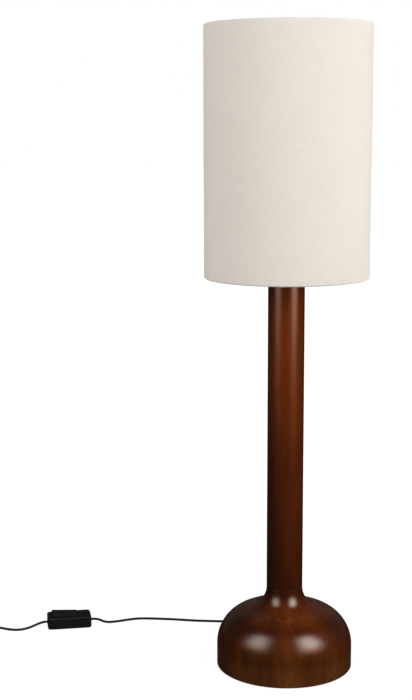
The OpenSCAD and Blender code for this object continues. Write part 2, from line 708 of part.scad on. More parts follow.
module switch_cover() color(black) at_switch() difference() {
    inner_top = switch_h - switch_top_t;
    union() {
        difference() {
            skinned(switch_l, switch_w, switch_corner_r, concat([[switch_split, 0]],
                [for (a = [0:22.5:90]) [switch_h - switch_edge_r * (1 - sin(a)),
                                        switch_edge_r * (1 - cos(a))]]));
            translate([0, 0, switch_split - past]) linear_extrude(inner_top - switch_split + past)
                polygon(round_rect(switch_l - 2 * switch_wall, switch_w - 2 * switch_wall,
                                   switch_corner_r - switch_wall));
        }
        four_bosses() translate([0, 0, switch_split])
            cylinder(r = boss_r, h = inner_top - switch_split + past);
        for (side = [-1, 1]) translate([-rocker_shift, side * (window_w + cheek_t) / 2, 0]) {
            translate([0, 0, z_pivot]) rotate([90, 0, 0]) cylinder(r = cheek_r, h = cheek_t, center = true);
            translate([-cheek_r, -cheek_t / 2, z_pivot])
                cube([2 * cheek_r, cheek_t, inner_top - z_pivot + past]);
        }
    }
    translate([-rocker_shift - window_l / 2, -window_w / 2, z_pivot])
        cube([window_l, window_w, switch_h - z_pivot + past]);
    translate([-rocker_shift, 0, z_pivot]) rotate([90, 0, 0])
        cylinder(r = pivot_d / 2 + run_gap, h = window_w + 2 * cheek_t + past, center = true);
    housing_cut(lead_gap) four_bosses() countersunk(switch_screw_d, switch_screw_end, screw_gap);
}

// The rocker: a flat paddle with softened edges, round ends about the pivot, hollow beneath
rocker_low = asin(rocker_skirt / rocker_end_r);
rocker_high = atan((rocker_h - rocker_edge) / (rocker_l / 2));
module rocker_block(w, outline) rotate([90, 0, 0]) linear_extrude(w, center = true) polygon(outline);
function rocker_outline(top, inset) = concat(
    arc([0, 0], rocker_end_r, -rocker_low, rocker_high, corner_steps),
    [[rocker_l / 2 - inset, top], [inset - rocker_l / 2, top]],
    arc([0, 0], rocker_end_r, 180 - rocker_high, 180 + rocker_low, corner_steps));

module switch_rocker() color(black) at_switch()
translate([-rocker_shift, 0, z_pivot]) rotate([0, rocker_tilt, 0]) {
    inner_l = rocker_l / 2 - rocker_wall;
    difference() {
        hull() {
            rocker_block(rocker_w, rocker_outline(rocker_h - rocker_edge + slice, slice));
            rocker_block(rocker_w - 2 * rocker_edge, rocker_outline(rocker_h, rocker_edge));
        }
        translate([0, 0, -rocker_skirt - past])
            linear_extrude(rocker_h - rocker_wall + rocker_skirt + past)
                square([2 * inner_l, rocker_w - 2 * rocker_wall], center = true);
    }
    rotate([90, 0, 0]) cylinder(r = hub_r, h = rocker_w, center = true);
    rotate([90, 0, 0]) cylinder(r = pivot_d / 2, h = window_w + 2 * cheek_t, center = true);
}

module switch_screws() color(steel) at_switch() four_bosses() countersunk(switch_screw_d, switch_screw_end);

module switch_clamps() color(black) at_switch() both_ends() difference() {
    translate([clamp_x - clamp_l / 2, -clamp_w / 2, switch_split]) cube([clamp_l, clamp_w, clamp_h]);
    translate([clamp_x, 0, switch_split]) rotate([0, 90, 0])
        cylinder(r = cord_r + screw_gap, h = clamp_l + 2 * past, center = true);
}

module switch_poles() color(brass) at_switch() {
    block_end = switch_l / 2 - cord_in_switch;
    for (side = [-1, 1]) translate([0, side * (pole_w + pole_gap) / 2 - pole_w / 2, seat_h]) {
        translate([-block_end, 0, 0]) cube([2 * block_end, pole_w, pole_strip_t]);
        for (x = [-block_end, block_end - pole_block_l]) translate([x, 0, 0])
            cube([pole_block_l, pole_w, pole_block_h]);
    }
}

// Plug
module plug_body() color(black) at_plug() difference() {
    union() {
        hull() {
            linear_extrude(plug_straight) polygon(round_rect(plug_w, plug_t, plug_corner_r));
            translate([0, 0, plug_l - slice]) linear_extrude(slice)
                polygon(round_rect(plug_back_w, plug_back_t, plug_back_r));
        }
        turned(concat([[0, plug_l - 1], [plug_relief_root_r, plug_l - 1]],
            ribbed(plug_relief_root_r, relief_end_r, plug_l, plug_relief_l, relief_grooves),
            [[0, plug_l + plug_relief_l]]));
    }
    both_pins() translate([0, 0, -past])
        cylinder(r = pin_core_r + screw_gap, h = pin_depth + screw_gap + past);
}

module both_pins() for (side = [-1, 1])
    translate([side * pin_gap_root / 2, 0, 0]) rotate([0, side * pin_toe_in, 0]) children();

module plug_pins() color(steel) at_plug() both_pins() turned([
    [0, -pin_l], [pin_d / 2 - pin_tip, -pin_l], [pin_d / 2, pin_tip - pin_l], [pin_d / 2, -pin_sleeve_l],
    [pin_core_r, -pin_sleeve_l], [pin_core_r, pin_depth], [0, pin_depth]]);

module pin_sleeves() color(black) at_plug() both_pins() translate([0, 0, -pin_sleeve_l])
    washer(pin_sleeve_r, pin_core_r + pin_sleeve_gap, pin_sleeve_l - pin_sleeve_gap);

base_dome();
cast_weight();
weight_screws();
bottom_board();
board_screws();
felt_pad();
column();
tie_rod();
foot_washer();
foot_nut();
top_disc();
top_nut();
holder_cap();
holder_sleeve();
holder_core();
holder_thread();
holder_contact();
shade_clamp_ring();
bulb_contact();
bulb_screw_shell();
bulb_collar();
bulb_globe();
shade_linen();
shade_lining();
shade_top_wire();
shade_fitter();
bend_relief();
lead_stop();
inner_lead();
lead_to_switch();
lead_to_coil();
lead_coil();
coil_tie();
switch_base();
switch_cover();
switch_rocker();
switch_screws();
switch_clamps();
switch_poles();
plug_body();
plug_pins();
pin_sleeves();
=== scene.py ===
# %% [markdown]
# # A floor lamp with a turned wooden foot and a linen drum shade
# The lamp was drawn as solids in a CAD program, and those solids come in here as a frame that
# nothing moves: every size, every seat and the switch's hinge belong to it. This file adds what
# solids don't have: the camera and the light of the photograph, smooth turned wood, a linen
# drum with its rolled edges, a soft lead, and a finish for every piece.
# All lengths are in metres. The tables of sizes are in millimetres, as on the drawing.

# %% Load the frame
import math

import bpy
from mathutils import Matrix, Vector


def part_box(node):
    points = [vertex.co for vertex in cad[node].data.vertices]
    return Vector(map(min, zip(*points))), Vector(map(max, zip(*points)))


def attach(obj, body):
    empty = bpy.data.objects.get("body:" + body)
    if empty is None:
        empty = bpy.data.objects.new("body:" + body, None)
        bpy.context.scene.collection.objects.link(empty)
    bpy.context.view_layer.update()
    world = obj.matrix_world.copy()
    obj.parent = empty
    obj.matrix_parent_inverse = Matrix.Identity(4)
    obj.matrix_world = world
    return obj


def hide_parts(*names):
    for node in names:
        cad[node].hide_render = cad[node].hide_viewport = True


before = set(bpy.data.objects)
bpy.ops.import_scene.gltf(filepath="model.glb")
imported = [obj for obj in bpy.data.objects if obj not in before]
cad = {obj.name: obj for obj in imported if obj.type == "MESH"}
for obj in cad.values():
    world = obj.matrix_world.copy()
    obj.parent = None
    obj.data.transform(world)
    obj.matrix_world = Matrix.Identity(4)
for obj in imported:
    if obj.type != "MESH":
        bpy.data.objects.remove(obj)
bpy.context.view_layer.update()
scene = bpy.context.scene
MM = 0.001

# %% [markdown]
# ## The camera
# The photograph was taken with a long lens from a little above the middle of the lamp, so the
# floor circle of the foot shows as a slim ellipse and the sides of the column stay almost
# parallel. A camera is a point, three directions and a focal length. The focal length in pixels
# is turned into millimetres on a 36 mm sensor, whose long side is the picture's long side.

# %% Camera
PICTURE_LONG_SIDE = 700
FOCAL_PIXELS = 1395.63
CAMERA_PLACE = Vector((0, -2.5232, 1.0065))
PITCH, ROLL, YAW = 0.15962, -0.00223, 0.05804
forward = Vector((-math.sin(YAW) * math.cos(PITCH), math.cos(YAW) * math.cos(PITCH),
                  -math.sin(PITCH)))
level = Vector((math.cos(YAW), math.sin(YAW), 0))
above = level.cross(forward)
right = math.cos(ROLL) * level + math.sin(ROLL) * above
up = math.cos(ROLL) * above - math.sin(ROLL) * level
lens = bpy.data.cameras.new("camera")
lens.sensor_width = 36
lens.lens = lens.sensor_width * FOCAL_PIXELS / PICTURE_LONG_SIDE
lens.clip_end = 100
camera = bpy.data.objects.new("camera", lens)
scene.collection.objects.link(camera)
turn = Matrix((right, up, -forward)).transposed().to_4x4()
camera.matrix_world = Matrix.Translation(CAMERA_PLACE) @ turn
scene.camera = camera
print("camera", tuple(round(v, 3) for v in camera.location), "lens", round(lens.lens, 1), "mm")

# %% [markdown]
# ## The lead
# A lamp's lead is a round rubbery cable, 4.8 mm thick. It leaves the foot through a bend relief,
# drops to the floor, runs in a lazy bow to the switch, and goes on to the plug. What the
# photograph doesn't show of it lies wound in a neat coil, as in a shop.
# It could be a row of cylinders, a simulated rope or a curve. A curve is best: Blender puts a
# round skin on it, and it bends only as much as its points say. The handles are set so that the
# curve is the same smooth line through the points that the CAD solids follow.

# %% Points of the lead, in millimetres
LEAD_D = 4.8
LIES = LEAD_D / 2
EXIT_Y, EXIT_Z = 151.9, 14
SWITCH_AT, SWITCH_TURN, SWITCH_L = (-438, 181, 9.5), math.radians(13), 88
IN_SWITCH = 13


def in_switch(along):
    """A point of the switch's long middle line, on the joint between its two shells."""
    x, y, z = SWITCH_AT
    return (x + along * math.cos(SWITCH_TURN), y + along * math.sin(SWITCH_TURN), z)


LAMP_ROUTE = [
    (0, EXIT_Y, EXIT_Z), (0, EXIT_Y + 7, EXIT_Z), (-0.5, 168, 12.8), (-2, 178, 9.6),
    (-6, 188, 6.2),
    (-13, 197, 3.6), (-24, 204, 2.5), (-38, 209, LIES), (-54, 211, LIES), (-78, 212, LIES),
    (-104, 211.5, LIES), (-131, 211, LIES), (-154, 211.5, LIES), (-178, 212, LIES),
    (-202, 214.5, LIES), (-227, 217.5, LIES), (-252, 219, LIES), (-276, 220, LIES),
    (-297, 219, LIES), (-315, 213.5, LIES), (-331, 205.5, LIES), (-346, 198.5, LIES),
    (-359, 193.5, 3), (-369, 192, 5), (-378, 193, 8.2),
    in_switch(SWITCH_L / 2 + 8), in_switch(SWITCH_L / 2), in_switch(SWITCH_L / 2 - IN_SWITCH),
]
PLUG_ROUTE = [
    in_switch(IN_SWITCH - SWITCH_L / 2), in_switch(-SWITCH_L / 2), in_switch(-SWITCH_L / 2 - 6),
    (-496.5, 165, 8), (-505, 159.5, 5.7),
    (-513, 153, 3.9), (-522, 147, 2.8), (-532, 142, LIES), (-544, 140.5, LIES), (-556, 143, LIES),
    (-567, 147.5, LIES), (-579, 152, LIES), (-592, 156.5, LIES), (-606, 159.5, 2.7),
]
print("points from lamp to switch:", len(LAMP_ROUTE), "and from switch to coil:", len(PLUG_ROUTE))

# %% [markdown]
# The coil is two flat layers of three and a half turns. The lead winds in on the floor, climbs to
# the upper layer where it turns back, winds out again and eases down to the plug. The rule is the
# one that the CAD source uses, so the coil lies exactly where its solid lies.

# %% Points of the coil, by its rule
COIL_AT = (-638, 124)
COIL_INNER_R, COIL_STEP, COIL_TURNS = 19.2, 5.3, 3.5
COIL_LOW_Z, COIL_EXTRA, COIL_CLIMB = 3.3, 0.25, 0.5
COIL_POINTS_A_TURN = 16
COIL_OUTER_R = COIL_INNER_R + COIL_TURNS * COIL_STEP
TAIL_L, TAIL_POINTS, PLUG_Z = 30, 4, 6.85


def coil_point(turns):
    """Where the lead is after so many turns of the coil."""
    r = COIL_INNER_R + COIL_STEP * abs(COIL_TURNS - turns)
    climbed = min(max((turns - COIL_TURNS) / COIL_CLIMB + 0.5, 0), 1)
    angle = math.radians(90 + 360 * turns)
    return (COIL_AT[0] + r * math.cos(angle), COIL_AT[1] + r * math.sin(angle),
            COIL_LOW_Z + COIL_STEP * climbed)


def tail_point(share):
    """Where the lead is on its way from the coil down to the plug."""
    x, y, z = coil_point(2 * COIL_TURNS + COIL_EXTRA)
    eased = (1 - math.cos(math.pi * min(share * 1.3, 1))) / 2
    return (x, COIL_AT[1] - TAIL_L * share, z + (PLUG_Z - z) * eased)


steps = round(COIL_POINTS_A_TURN * (2 * COIL_TURNS + COIL_EXTRA))
lead_in = [(COIL_AT[0] + 2 * LEAD_D, COIL_AT[1] + COIL_OUTER_R, COIL_LOW_Z)]
coil = [coil_point(i / COIL_POINTS_A_TURN) for i in range(steps + 1)]
tail = [tail_point((i + 1) / TAIL_POINTS) for i in range(TAIL_POINTS)]
COIL_ROUTE = lead_in + coil + tail
print("turns:", 2 * COIL_TURNS + COIL_EXTRA, "points:", len(COIL_ROUTE))


# %% Curves through those points
def lead_piece(name, route):
    """A round lead along a smooth curve through the route's points, whose radius is the lead's."""
    points = [Vector(p) * MM for p in route]
    data = bpy.data.curves.new(name, "CURVE")
    data.dimensions = "3D"
    data.bevel_depth = 1
    data.bevel_resolution = 5
    data.resolution_u = 5
    data.use_fill_caps = True
    spline = data.splines.new("BEZIER")
    spline.bezier_points.add(len(points) - 1)
    last = len(points) - 1
    for i, (knot, here) in enumerate(zip(spline.bezier_points, points)):
        along = (points[min(i + 1, last)] - points[max(i - 1, 0)]) / 6
        knot.co, knot.handle_left, knot.handle_right = here, here - along, here + along
        knot.radius = LEAD_D / 2 * MM
    obj = bpy.data.objects.new(name, data)
    scene.collection.objects.link(obj)
    return obj


def length_of(route):
    """Length of a route in millimetres, measured between its points."""
    return sum((Vector(b) - Vector(a)).length for a, b in zip(route, route[1:]))


lead_near = lead_piece("lead_to_switch_skin", LAMP_ROUTE)
lead_far = lead_piece("lead_to_plug_skin", PLUG_ROUTE + COIL_ROUTE)
INNER_BEND_R, HOLDER_Z = 22, 773.5
inside = [(0, y, EXIT_Z) for y in (EXIT_Y, 100, 60)]
inside += [(0, INNER_BEND_R * (1 - math.sin(a)), EXIT_Z + INNER_BEND_R * (1 - math.cos(a)))
           for a in (math.radians(15 * i) for i in range(7))]
inside += [(0, 0, z) for z in (60, 120, 300, 500, 700, HOLDER_Z)]
lead_inside = lead_piece("lead_inside_lamp", inside)
print("lamp to switch:", round(length_of(LAMP_ROUTE)), "mm")
print("switch to plug:", round(length_of(PLUG_ROUTE + COIL_ROUTE)), "mm")

# %% [markdown]
# Each new piece is put on the body that it rides on, and the solids that it stands for are then
# hidden.

# %% What the leads stand for
for piece in (lead_near, lead_far, lead_inside):
    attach(piece, "lamp")
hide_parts("lead_to_switch")
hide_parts("lead_to_coil", "lead_coil")
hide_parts("inner_lead")
print("leads dressed:", lead_near.name, lead_far.name, lead_inside.name)

# %% [markdown]
# ## Turned pieces
# The foot and the column were made on a lathe: a cutter followed one outline while the wood went
# round. Spinning the outline in mesh code would do, and so would the Screw modifier. A Geometry
# Nodes tree is used instead, because the rule "this outline, turned round the axis" is then
# written once, with its sizes as named inputs, and serves the foot, the column and the shade.
# The outline is a curve object. The tree carries it round a circle, merges the points that meet
# on the axis and puts the finish on.


# %% One way to build a node tree
def put(tree, kind, settings=None, **sockets):
    """Adds a node, sets its settings, then its sockets by name: each gets a value or a link."""
    node = tree.nodes.new(kind)
    for key, value in (settings or {}).items():
        setattr(node, key, value)
    for key, value in sockets.items():
        target = node.inputs[key.replace("_", " ")]
        if isinstance(value, bpy.types.NodeSocket):
            tree.links.new(value, target)
        else:
            target.default_value = value
    return node


def new_tree(name, inputs):
    """A geometry tree with the named inputs, and what its input node gives."""
    tree = bpy.data.node_groups.new(name, "GeometryNodeTree")
    tree.is_modifier = True
    face = tree.interface
    face.new_socket("Geometry", in_out="INPUT", socket_type="NodeSocketGeometry")
    for label, kind, value in inputs:
        socket = face.new_socket(label, in_out="INPUT", socket_type=kind)
        if value is not None:
            socket.default_value = value
    face.new_socket("Geometry", in_out="OUTPUT", socket_type="NodeSocketGeometry")
    entry = tree.nodes.new("NodeGroupInput")
    return tree, entry.outputs


def close_tree(tree, shape, finish):
    """Ends a tree with plain geometry that has its finish on."""
    real = put(tree, "GeometryNodeRealizeInstances", Geometry=shape)
    painted = put(tree, "GeometryNodeSetMaterial", Geometry=real.outputs[0], Material=finish)
    end = tree.nodes.new("NodeGroupOutput")
    tree.links.new(painted.outputs[0], end.inputs[0])


def lathe_tree():
    """Turns the outline curve round the axis. The outline's x runs outwards from the guide
    circle, and its y runs down."""
    tree, given = new_tree("lathe", [
        ("Steps round", "NodeSocketInt", 192),
        ("Guide radius", "NodeSocketFloat", 1.0),
        ("Sharp edge angle", "NodeSocketFloat", math.radians(32)),
        ("Finish", "NodeSocketMaterial", None),
    ])
    guide = put(tree, "GeometryNodeCurvePrimitiveCircle", {"mode": "RADIUS"},
                Resolution=given["Steps round"], Radius=given["Guide radius"])
    upright = put(tree, "GeometryNodeSetCurveNormal", {"mode": "Z_UP"}, Curve=guide.outputs[0])
    turned = put(tree, "GeometryNodeCurveToMesh", Curve=upright.outputs[0],
                 Profile_Curve=given["Geometry"])
    merged = put(tree, "GeometryNodeMergeByDistance", Geometry=turned.outputs[0], Distance=1e-6)
    soft = put(tree, "GeometryNodeSetShadeSmooth", {"domain": "FACE"}, Geometry=merged.outputs[0])
    angle = put(tree, "GeometryNodeInputMeshEdgeAngle")
    gentle = put(tree, "FunctionNodeCompare", {"data_type": "FLOAT", "operation": "LESS_THAN"},
                 A=angle.outputs["Unsigned Angle"], B=given["Sharp edge angle"])
    edged = put(tree, "GeometryNodeSetShadeSmooth", {"domain": "EDGE"}, Geometry=soft.outputs[0],
                Shade_Smooth=gentle.outputs[0])
    close_tree(tree, edged.outputs[0], given["Finish"])
    return tree


LATHE = lathe_tree()
print("lathe tree:", len(LATHE.nodes), "nodes")


# %% [markdown]
# A tree runs once, on its outline, and what it gives is kept as a plain mesh. The signed volume
# of that mesh tells whether its faces point outwards.


# %% From a tree to a plain mesh
def bake_tree(obj, tree, name, **inputs):
    """Runs the tree on the object and gives the result as a plain mesh object of that name."""
    run = obj.modifiers.new("tree", "NODES")
    run.node_group = tree
    ids = {i.name: i.identifier for i in tree.interface.items_tree if i.in_out == "INPUT"}
    for label, value in inputs.items():
        run[ids[label.replace("_", " ")]] = value
    done = obj.evaluated_get(bpy.context.evaluated_depsgraph_get())
    mesh = bpy.data.meshes.new_from_object(done)
    mesh.name = name
    obj.modifiers.remove(run)
    bpy.data.objects.remove(obj)
    piece = bpy.data.objects.new(name, mesh)
    scene.collection.objects.link(piece)
    return piece


def outline_curve(name, points, closed=True):
    """A flat curve with straight steps through the points, given in millimetres."""
    data = bpy.data.curves.new(name, "CURVE")
    data.dimensions = "2D"
    spline = data.splines.new("POLY")
    spline.points.add(len(points) - 1)
    for target, (x, y) in zip(spline.points, points):
        target.co = (x * MM, y * MM, 0, 1)
    spline.use_cyclic_u = closed
    obj = bpy.data.objects.new(name, data)
    scene.collection.objects.link(obj)
    return obj


def outward(mesh):
    """Signed volume of a closed mesh: above zero when its faces point outwards."""
    mesh.calc_loop_triangles()
    v = mesh.vertices
    return sum(v[a].co.dot(v[b].co.cross(v[c].co)) for a, b, c in
               (t.vertices for t in mesh.loop_triangles)) / 6


def turned_piece(name, outline, finish, steps=192):
    """A piece turned from its outline of (radius, height) points in millimetres."""
    guide = 1.0
    curve = outline_curve(name + "_outline", [(r - guide / MM, -z) for r, z in outline])
    piece = bake_tree(curve, LATHE, name, Steps_round=steps, Guide_radius=guide, Finish=finish)
    if outward(piece.data) < 0:
        piece.data.flip_normals()
    print(name, "faces:", len(piece.data.polygons), "volume:",
          round(outward(piece.data) * 1e6), "cm3")
    return piece


# %% [markdown]
# ## Finishes
# A finish is a small recipe of nodes. Written as nodes one by one it would be long and hard to
# read, so one class holds a recipe and adds any node in one call, and a second one wraps a
# number that changes over the surface, so that ordinary sums add the Math nodes.


# %% Sums on surfaces
class Reading:
    """A number that changes over a surface. Sums on it add Math nodes to its recipe."""

    def __init__(self, recipe, socket):
        self.recipe, self.socket = recipe, socket

    def sum(self, operation, *numbers, clamp=False):
        node = self.recipe.node("ShaderNodeMath", {"operation": operation, "use_clamp": clamp},
                                dict(enumerate(numbers)))
        return Reading(self.recipe, node.outputs[0])

    def __add__(self, other):
        return self.sum("ADD", self, other)

    __radd__ = __add__

    def __mul__(self, other):
        return self.sum("MULTIPLY", self, other)

    __rmul__ = __mul__

    def __sub__(self, other):
        return self.sum("SUBTRACT", self, other)

    def __rsub__(self, other):
        return self.sum("SUBTRACT", other, self)

    def __truediv__(self, other):
        return self.sum("DIVIDE", self, other)

    def __rtruediv__(self, other):
        return self.sum("DIVIDE", other, self)

    def __pow__(self, other):
        return self.sum("POWER", self, other)

    def wave(self):
        return self.sum("SINE", self)

    def most(self, other):
        return self.sum("MAXIMUM", self, other)

    def size(self):
        return self.sum("ABSOLUTE", self)

    def between(self, low, high):
        """0 below low, 1 above high, and smooth in between."""
        node = self.recipe.node("ShaderNodeMapRange", {"interpolation_type": "SMOOTHSTEP"},
                                {0: self, 1: low, 2: high})
        return Reading(self.recipe, node.outputs[0])


class Recipe:
    """The nodes of one finish, lamp backdrop or sky."""

    def __init__(self, tree):
        self.tree = tree

    def node(self, kind, settings=None, sockets=None):
        """Adds a node: settings first, then a value or a link for each socket."""
        node = self.tree.nodes.new(kind)
        for key, value in (settings or {}).items():
            if key == "stops":
                ramp = node.color_ramp
                while len(ramp.elements) < len(value):
                    ramp.elements.new(0.5)
                for element, (place, colour) in zip(ramp.elements, value):
                    element.position, element.color = place, (*colour, 1)
            else:
                setattr(node, key, value)
        for key, value in (sockets or {}).items():
            if isinstance(key, str):
                target = next(s for s in node.inputs if key in (s.identifier, s.name))
            else:
                target = node.inputs[key]
            self.give(target, value)
        return node

    def give(self, target, value):
        """Links a reading or a socket to a socket, or sets a plain value on it."""
        value = value.socket if isinstance(value, Reading) else value
        if isinstance(value, bpy.types.NodeSocket):
            self.tree.links.new(value, target)
        elif target.type == "RGBA" and len(value) == 3:
            target.default_value = (*value, 1)
        else:
            target.default_value = value

    def reading(self, node, output=0):
        return Reading(self, node.outputs[output])

    def place(self):
        """The three coordinates of a point of the piece, in metres."""
        at = self.node("ShaderNodeTexCoord").outputs["Object"]
        split = self.node("ShaderNodeSeparateXYZ", None, {0: at})
        return [Reading(self, s) for s in split.outputs]

    def point(self, x, y, z):
        return self.node("ShaderNodeCombineXYZ", None, {0: x, 1: y, 2: z}).outputs[0]

    def noise(self, at, scale, detail=2.0, rough=0.5, warp=0.0):
        node = self.node("ShaderNodeTexNoise", None, {
            "Vector": at, "Scale": scale, "Detail": detail, "Roughness": rough,
            "Distortion": warp})
        return self.reading(node)

    def mix(self, share, first, second, kind="MIX"):
        """A colour between two colours."""
        node = self.node("ShaderNodeMix", {"data_type": "RGBA", "blend_type": kind}, {
            "Factor_Float": share, "A_Color": first, "B_Color": second})
        return next(s for s in node.outputs if s.identifier == "Result_Color")

    def ramp(self, share, stops):
        return self.node("ShaderNodeValToRGB", {"stops": stops}, {"Fac": share}).outputs[0]

    def bump(self, height, distance, strength=1.0):
        return self.node("ShaderNodeBump", None, {
            "Height": height, "Distance": distance, "Strength": strength}).outputs[0]


def finish(name, make, **constants):
    """A material whose make(recipe) gives what changes over the surface. The rest is constant."""
    material = bpy.data.materials.new(name)
    material.use_nodes = True
    recipe = Recipe(material.node_tree)
    skin = next(n for n in material.node_tree.nodes if n.type == "BSDF_PRINCIPLED")
    values = {**constants, **make(recipe)}
    for key, value in values.items():
        recipe.give(skin.inputs[key.replace("_", " ")], value)
    print("finish", name, "with", len(recipe.tree.nodes), "nodes")
    return material


# %% [markdown]
# ### Stained and lacquered wood
# The wood is dark red brown, with soft cloudy patches that run along the column and fine pores.
# Over it lies a satin lacquer that shows two long window-like lights. The stain is a colour that
# three layers of noise move between dark and light. The noises are stretched along the height,
# because the grain runs up the column. A multiplier by height makes the colour darker low on the
# column and in bands over the foot's shoulder and neck, lighter towards the column's top, and a
# little more yellow on the foot's wall. Both flanks along x get painted shade, the -x one most,
# and the +x shoulder of the foot more. The lacquer is the coat of the shader.


# %% Wood
COLUMN_TOP_Z = 0.745
# Multipliers of the wood's colour by height, as a share of the column's top: darker low on the
# column and in bands over the foot, lighter towards the top, more yellow on the foot's wall.
TONE_BY_HEIGHT = [
    (0.00, (1.06, 1.60, 7.5)), (0.035, (1.02, 1.50, 6.0)), (0.06, (0.79, 1.00, 1.6)),
    (0.10, (0.78, 0.86, 1.0)), (0.13, (0.58, 0.49, 0.1)), (0.15, (1.00, 1.00, 0.3)),
    (0.165, (0.94, 0.82, 0.4)), (0.19, (0.48, 0.45, 0.4)), (0.25, (0.52, 0.50, 0.6)),
    (0.37, (0.64, 0.61, 0.6)), (0.53, (0.86, 0.76, 0.5)), (0.70, (1.18, 0.98, 0.5)),
    (1.00, (1.18, 1.02, 0.6))]
# The first colour is the painted shade on the flanks, the second the colour of the pores.
FLANK_SHADE_DARK, PORE_DARK = (0.004, 0.0012, 0.0004), (0.026, 0.0056, 0.0004)


def wood_recipe(r):
    x, y, z = r.place()
    cloud = r.noise(r.point(x, y, z * 0.2), 17, 3, 0.5, 0.6)
    figure = r.noise(r.point(x, y, z * 0.16), 80, 3, 0.6, 0.4)
    streak = r.noise(r.point(x, y, z * 0.035), 520, 2, 0.6)
    pore = r.noise(r.point(x, y, z * 0.06), 1700, 1, 0.5).between(0.62, 0.74)
    tone = cloud * 0.66 + figure * 0.20 + streak * 0.14
    colour = r.ramp(tone, [(0.38, (0.072, 0.0130, 0.0006)), (0.50, (0.106, 0.0198, 0.0008)),
                           (0.60, (0.142, 0.0280, 0.0012))])
    height_tone = r.ramp(z / COLUMN_TOP_Z, TONE_BY_HEIGHT)
    side = x / (x * x + y * y + 0.0001) ** 0.5
    shoulder = z.between(0.05, 0.075) * (1 - z.between(0.095, 0.12))
    # Painted shade: the share left unshaded falls towards both flanks along x, the -x one most, and
    # further on the +x shoulder of the foot.
    unshaded_share = 1 - (0 - side).between(0, 0.95) * 0.55 - side.between(0.45, 1) * 0.32
    unshaded_share = unshaded_share - side.between(0.5, 0.9) * shoulder * 0.24
    colour = r.mix(1.0, colour, height_tone, "MULTIPLY")
    colour = r.mix(unshaded_share, FLANK_SHADE_DARK, colour)
    colour = r.mix(pore * 0.18, colour, PORE_DARK)
    grain = streak * 0.5 + figure * 0.5 - pore * 0.5
    return {"Base_Color": colour, "Roughness": 0.42 + streak * 0.12,
            "Normal": r.bump(grain, 0.00004, 0.5)}


WOOD = finish("walnut_stain_lacquer", wood_recipe, Specular_IOR_Level=0.0, Coat_Weight=1.0,
              Coat_Roughness=0.22, Coat_IOR=1.5)


# %% [markdown]
# ### Linen
# Linen is a plain weave whose threads are uneven: here and there one is thicker and shows as a
# short fine line. A regular pattern of threads would shimmer, so each direction gets its own
# stretched noise, and only the finest relief is a regular weave. The pattern is laid round the
# drum by the angle, so that threads run straight up and straight round.


# %% Linen
SHADE_R = 150
THREAD_PITCH = 0.00085
SLUB_COLOUR = (0.70, 0.630, 0.555)


def linen_recipe(r):
    x, y, z = r.place()
    angle = x.sum("ARCTAN2", x, 0.0 - y)
    along = angle * (SHADE_R * MM)
    upright = r.noise(r.point(along * 1150, z * 34, 0.0), 1, 1, 0.5)
    level_thread = r.noise(r.point(along * 30, z * 1150, 3.0), 1, 1, 0.5)
    slub = r.noise(r.point(along * 45, z * 640, 9.0), 1, 1, 0.5).between(0.64, 0.80)
    slub_up = r.noise(r.point(along * 660, z * 40, 5.0), 1, 1, 0.5).between(0.66, 0.82)
    cloud = r.noise(r.point(x, y, z), 9, 2, 0.5)
    tone = upright * 0.40 + level_thread * 0.45 + cloud * 0.15
    colour = r.ramp(tone, [(0.30, (0.766, 0.703, 0.632)), (0.50, (0.806, 0.745, 0.673)),
                           (0.70, (0.840, 0.781, 0.710))])
    colour = r.mix(slub * 0.22 + slub_up * 0.14, colour, SLUB_COLOUR)
    turn_on = math.pi / THREAD_PITCH
    weave = (along * turn_on).wave() * (z * turn_on).wave()
    relief = weave * 0.35 + upright * 0.5 + level_thread * 0.6 + slub * 0.5
    return {"Base_Color": colour, "Roughness": 0.86 + upright * 0.10,
            "Normal": r.bump(relief, 0.00012, 0.6)}


LINEN = finish("linen_plain_weave", linen_recipe, Specular_IOR_Level=0.25, Sheen_Weight=0.15,
               Sheen_Roughness=0.5)


# %% [markdown]
# ### Plastics, rubber and enamel
# Moulded black plastic has a fine even grain from the mould, which breaks up its gloss. The lead's
# skin is softer and duller. The lining of the shade is a matt white sheet, and the wires are
# dipped in white enamel that runs a little. Each is one or two noises on colour, roughness and
# relief, at the scale of the real surface.


# %% Plastics, rubber and enamel
def plastic_recipe(dark, light, grain, depth, gloss):
    """Moulded plastic between two colours, with mould grain of that many cells a metre."""

    def make(r):
        at = r.point(*r.place())
        fine = r.noise(at, grain, 2, 0.5)
        wide = r.noise(at, 45, 2, 0.5)
        colour = r.mix(fine * 0.5 + wide * 0.5, dark, light)
        return {"Base_Color": colour, "Roughness": wide * 0.12 + fine * 0.08 + gloss,
                "Normal": r.bump(fine, depth, 0.5)}

    return make


BLACK_PLASTIC = finish("black_moulded_plastic", plastic_recipe(
    (0.0032, 0.0032, 0.0034), (0.0062, 0.0062, 0.0066), 2600, 0.00003, 0.40),
    Specular_IOR_Level=0.3)
BLACK_RUBBER = finish("black_lead_sheath", plastic_recipe(
    (0.0040, 0.0040, 0.0042), (0.0078, 0.0078, 0.0082), 1400, 0.00003, 0.50),
    Specular_IOR_Level=0.3)
LINING = finish("white_lining_sheet", plastic_recipe(
    (0.78, 0.77, 0.74), (0.86, 0.85, 0.83), 700, 0.00005, 0.62))
ENAMEL = finish("white_wire_enamel", plastic_recipe(
    (0.72, 0.71, 0.69), (0.84, 0.83, 0.81), 260, 0.00010, 0.26))
OPAL_PLASTIC = finish("opal_bulb_plastic", plastic_recipe(
    (0.80, 0.80, 0.77), (0.88, 0.88, 0.86), 900, 0.00002, 0.36))
CERAMIC = finish("glazed_ceramic", plastic_recipe(
    (0.74, 0.72, 0.67), (0.84, 0.82, 0.77), 140, 0.00008, 0.10), Coat_Weight=0.6,
    Coat_Roughness=0.05)


